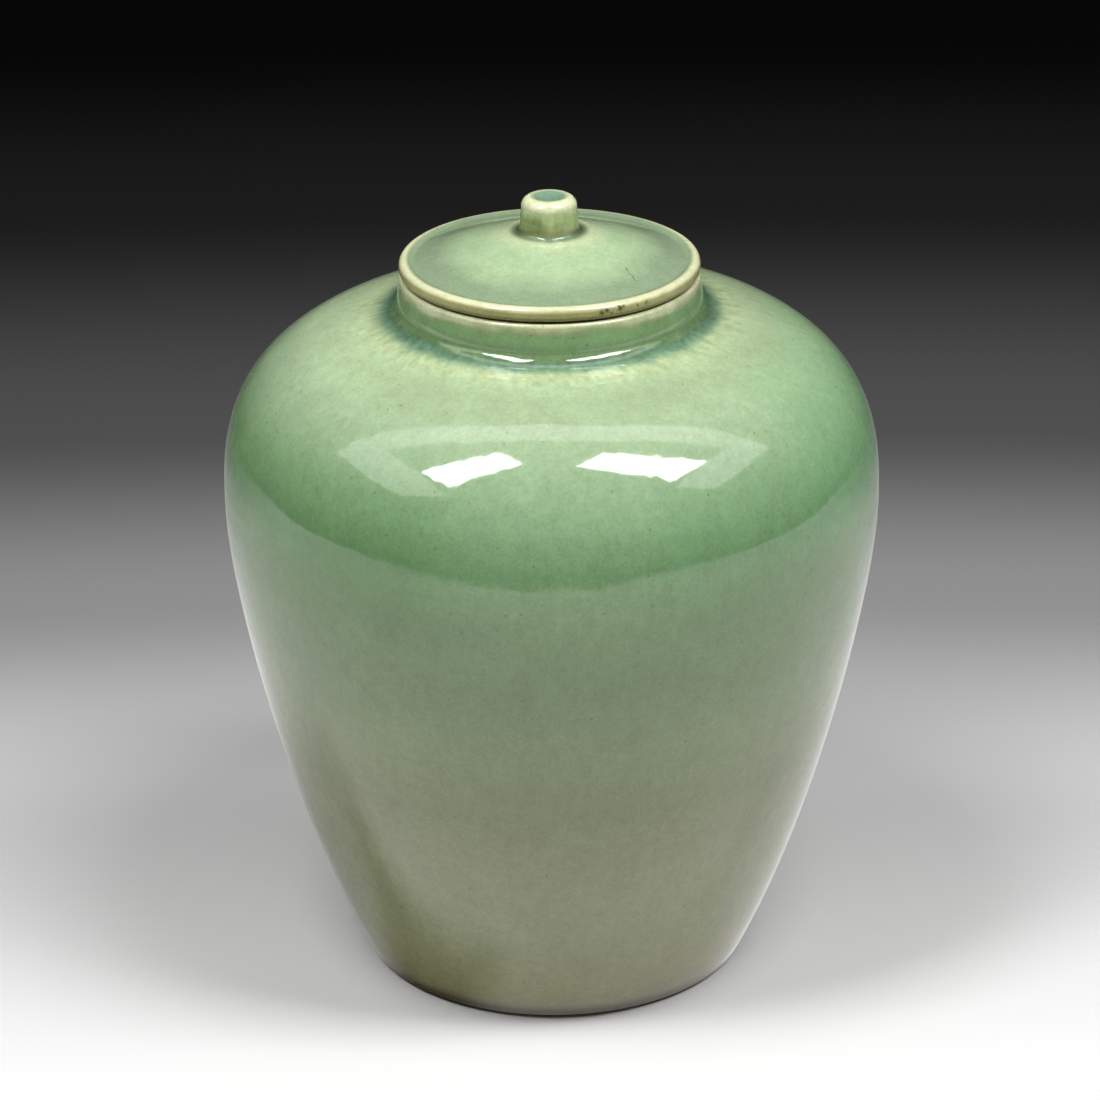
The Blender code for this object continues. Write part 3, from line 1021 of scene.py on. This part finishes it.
def table_reflection_glow(name):
    """A painted reflection of the lit table top, seen only by the glaze's reflections, with a painted shadow
    of the jar: bright in front, and dim towards the back.
    """
    g = Nodes(name)
    place = g.add("ShaderNodeTexCoord").outputs["Object"]
    parts = g.add("ShaderNodeSeparateXYZ", {"Vector": place})
    across, depth = parts.outputs["X"], parts.outputs["Y"]
    inputs = {"Value": depth, "From Min": TABLE_LIGHT[0][0], "From Max": TABLE_LIGHT[-1][0]}
    light = g.ramp(g.add("ShaderNodeMapRange", inputs).outputs["Result"], TABLE_LIGHT)
    slanted = g.math("MULTIPLY_ADD", g.math("ABSOLUTE", across), SHADE_SLANT, SHADE_FRONT)
    inside = g.remap(g.math("SUBTRACT", depth, slanted), -SHADE_SOFT, SHADE_SOFT)
    away = g.add("ShaderNodeVectorMath", {0: place}, operation="LENGTH").outputs["Value"]
    close = g.remap(away, SHADE_NEAR, SHADE_FAR, 1.0, 0.0)
    side = g.remap(across, *SHADE_SIDE, 1.0, SHADE_RIGHT)
    eased = g.remap(depth, *SHADE_DEEP, 1.0, SHADE_BACK)
    # painted shadow of the jar in the glowing table
    shade = g.math("MULTIPLY", g.math("MULTIPLY", inside, close), g.math("MULTIPLY", side, eased))
    strength = g.math("MULTIPLY", g.math("SUBTRACT", 1.0, shade), TABLE_GLOW)
    g.tree.nodes.remove(g.shader)
    glow = g.add("ShaderNodeEmission", {"Color": light, "Strength": strength})
    out = next(node for node in g.tree.nodes if node.type == "OUTPUT_MATERIAL")
    g.tree.links.new(glow.outputs[0], out.inputs["Surface"])
    return g.material


def paper(name, stops, squash, centre):
    """Matt paper with a painted pool of light, graded by its distance from a point: stops are (distance,
    albedo).
    """
    g = Nodes(name)
    place = g.add("ShaderNodeTexCoord").outputs["Object"]
    laid = g.scaled(g.moved(place, -centre[0], -centre[1]), (squash, 1.0, 0.0))
    away = g.add("ShaderNodeVectorMath", {0: laid}, operation="LENGTH").outputs["Value"]
    g.put(g.shader.inputs["Base Color"], g.ramp(g.math("DIVIDE", away, stops[-1][0]), stops, "EASE"))
    g.shader.inputs["Roughness"].default_value = 1.0
    g.shader.inputs["Specular IOR Level"].default_value = 0.0
    return g.material


def studio():
    """Softboxes in a pale frame, the paper with its painted pool of light, the glowing table that only
    reflections see and a dark room.
    """
    boxes = glowing("softbox", BOX_LIGHT)
    strips = glowing("pale_frame", FRAME_LIGHT)
    for name, corners in (("left_box", LEFT_BOX), ("right_box", RIGHT_BOX)):
        sheet(name, corners, PANEL_Z).data.materials.append(boxes)
    for name, corners in zip(("back_strip", "left_arm", "right_arm"), FRAME_STRIPS):
        sheet(name, corners, PANEL_Z + FRAME_LIFT).data.materials.append(strips)

    # paper with a painted pool of light: bright in front, dark towards the back
    floor = sheet("floor_paper", ellipse((0, 0), FLOOR_RADIUS, FLOOR_RADIUS), -FLOOR_DROP)
    floor.data.materials.append(paper("paper_light_pool", PAPER_LIGHT_POOL_STOPS, PAPER_SQUASH, PAPER_CENTRE))
    floor.visible_glossy = False
    # a glowing sheet that only reflections see: painted reflection of the table, with a painted shadow of the
    # jar
    table = sheet("table_in_reflections", ellipse(TABLE_CENTRE, *TABLE_AXES), 0.0)
    table.data.materials.append(table_reflection_glow("table_reflection_glow"))
    table.visible_camera = False
    table.visible_diffuse = False
    table.visible_shadow = False

    world = bpy.data.worlds.new("dark_studio")
    world.use_nodes = True
    world.node_tree.nodes["Background"].inputs["Color"].default_value = rgba((WORLD_GREY,) * 3)
    bpy.context.scene.world = world
    bpy.context.scene.view_settings.view_transform = "Standard"


def camera():
    """Stands in front of the jar, above it, and looks down on its lid."""
    cos_pitch, sin_pitch = math.cos(CAMERA_PITCH), math.sin(CAMERA_PITCH)
    cos_yaw, sin_yaw = math.cos(CAMERA_YAW), math.sin(CAMERA_YAW)
    ahead = Vector((sin_yaw * cos_pitch, cos_yaw * cos_pitch, -sin_pitch))
    level = Vector((cos_yaw, -sin_yaw, 0.0))
    upright = level.cross(ahead)
    right = level * math.cos(CAMERA_ROLL) + upright * math.sin(CAMERA_ROLL)
    up = upright * math.cos(CAMERA_ROLL) - level * math.sin(CAMERA_ROLL)
    turn = Matrix((right, up, -ahead)).transposed()
    data = bpy.data.cameras.new("camera")
    data.lens = CAMERA_LENS
    data.sensor_width = CAMERA_SENSOR
    made = bpy.data.objects.new("camera", data)
    made.matrix_world = Matrix.Translation(CAMERA_PLACE) @ turn.to_4x4()
    bpy.context.scene.collection.objects.link(made)
    bpy.context.scene.camera = made


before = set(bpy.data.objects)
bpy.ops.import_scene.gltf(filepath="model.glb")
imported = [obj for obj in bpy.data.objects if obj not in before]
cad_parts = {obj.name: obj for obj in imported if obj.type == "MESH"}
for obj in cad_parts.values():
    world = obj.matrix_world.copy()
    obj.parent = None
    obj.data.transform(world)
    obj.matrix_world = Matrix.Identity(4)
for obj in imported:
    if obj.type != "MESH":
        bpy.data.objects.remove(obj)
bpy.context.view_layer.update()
glaze = celadon("celadon_glaze")
lid_finish = celadon("celadon_lid_glaze", mottle=0.9, iron_depth=0.45, scratch=LID_SCRATCH)
clay_finish = bare_clay("bare_stoneware")
finished(jar_body(), glaze, "jar", "body_glaze", "jar_body")
finished(neck(), glaze, "jar", "neck_glaze", "neck_collar")
finished(foot(), clay_finish, "jar", "bare_foot", "foot_ring")
finished(lid(), lid_finish, "lid", "lid_glaze", "lid_plate")
finished(flange(), clay_finish, "lid", "bare_flange", "lid_flange")
finished(knob(), glaze, "lid", "knob_glaze", "lid_knob")
studio()
camera()
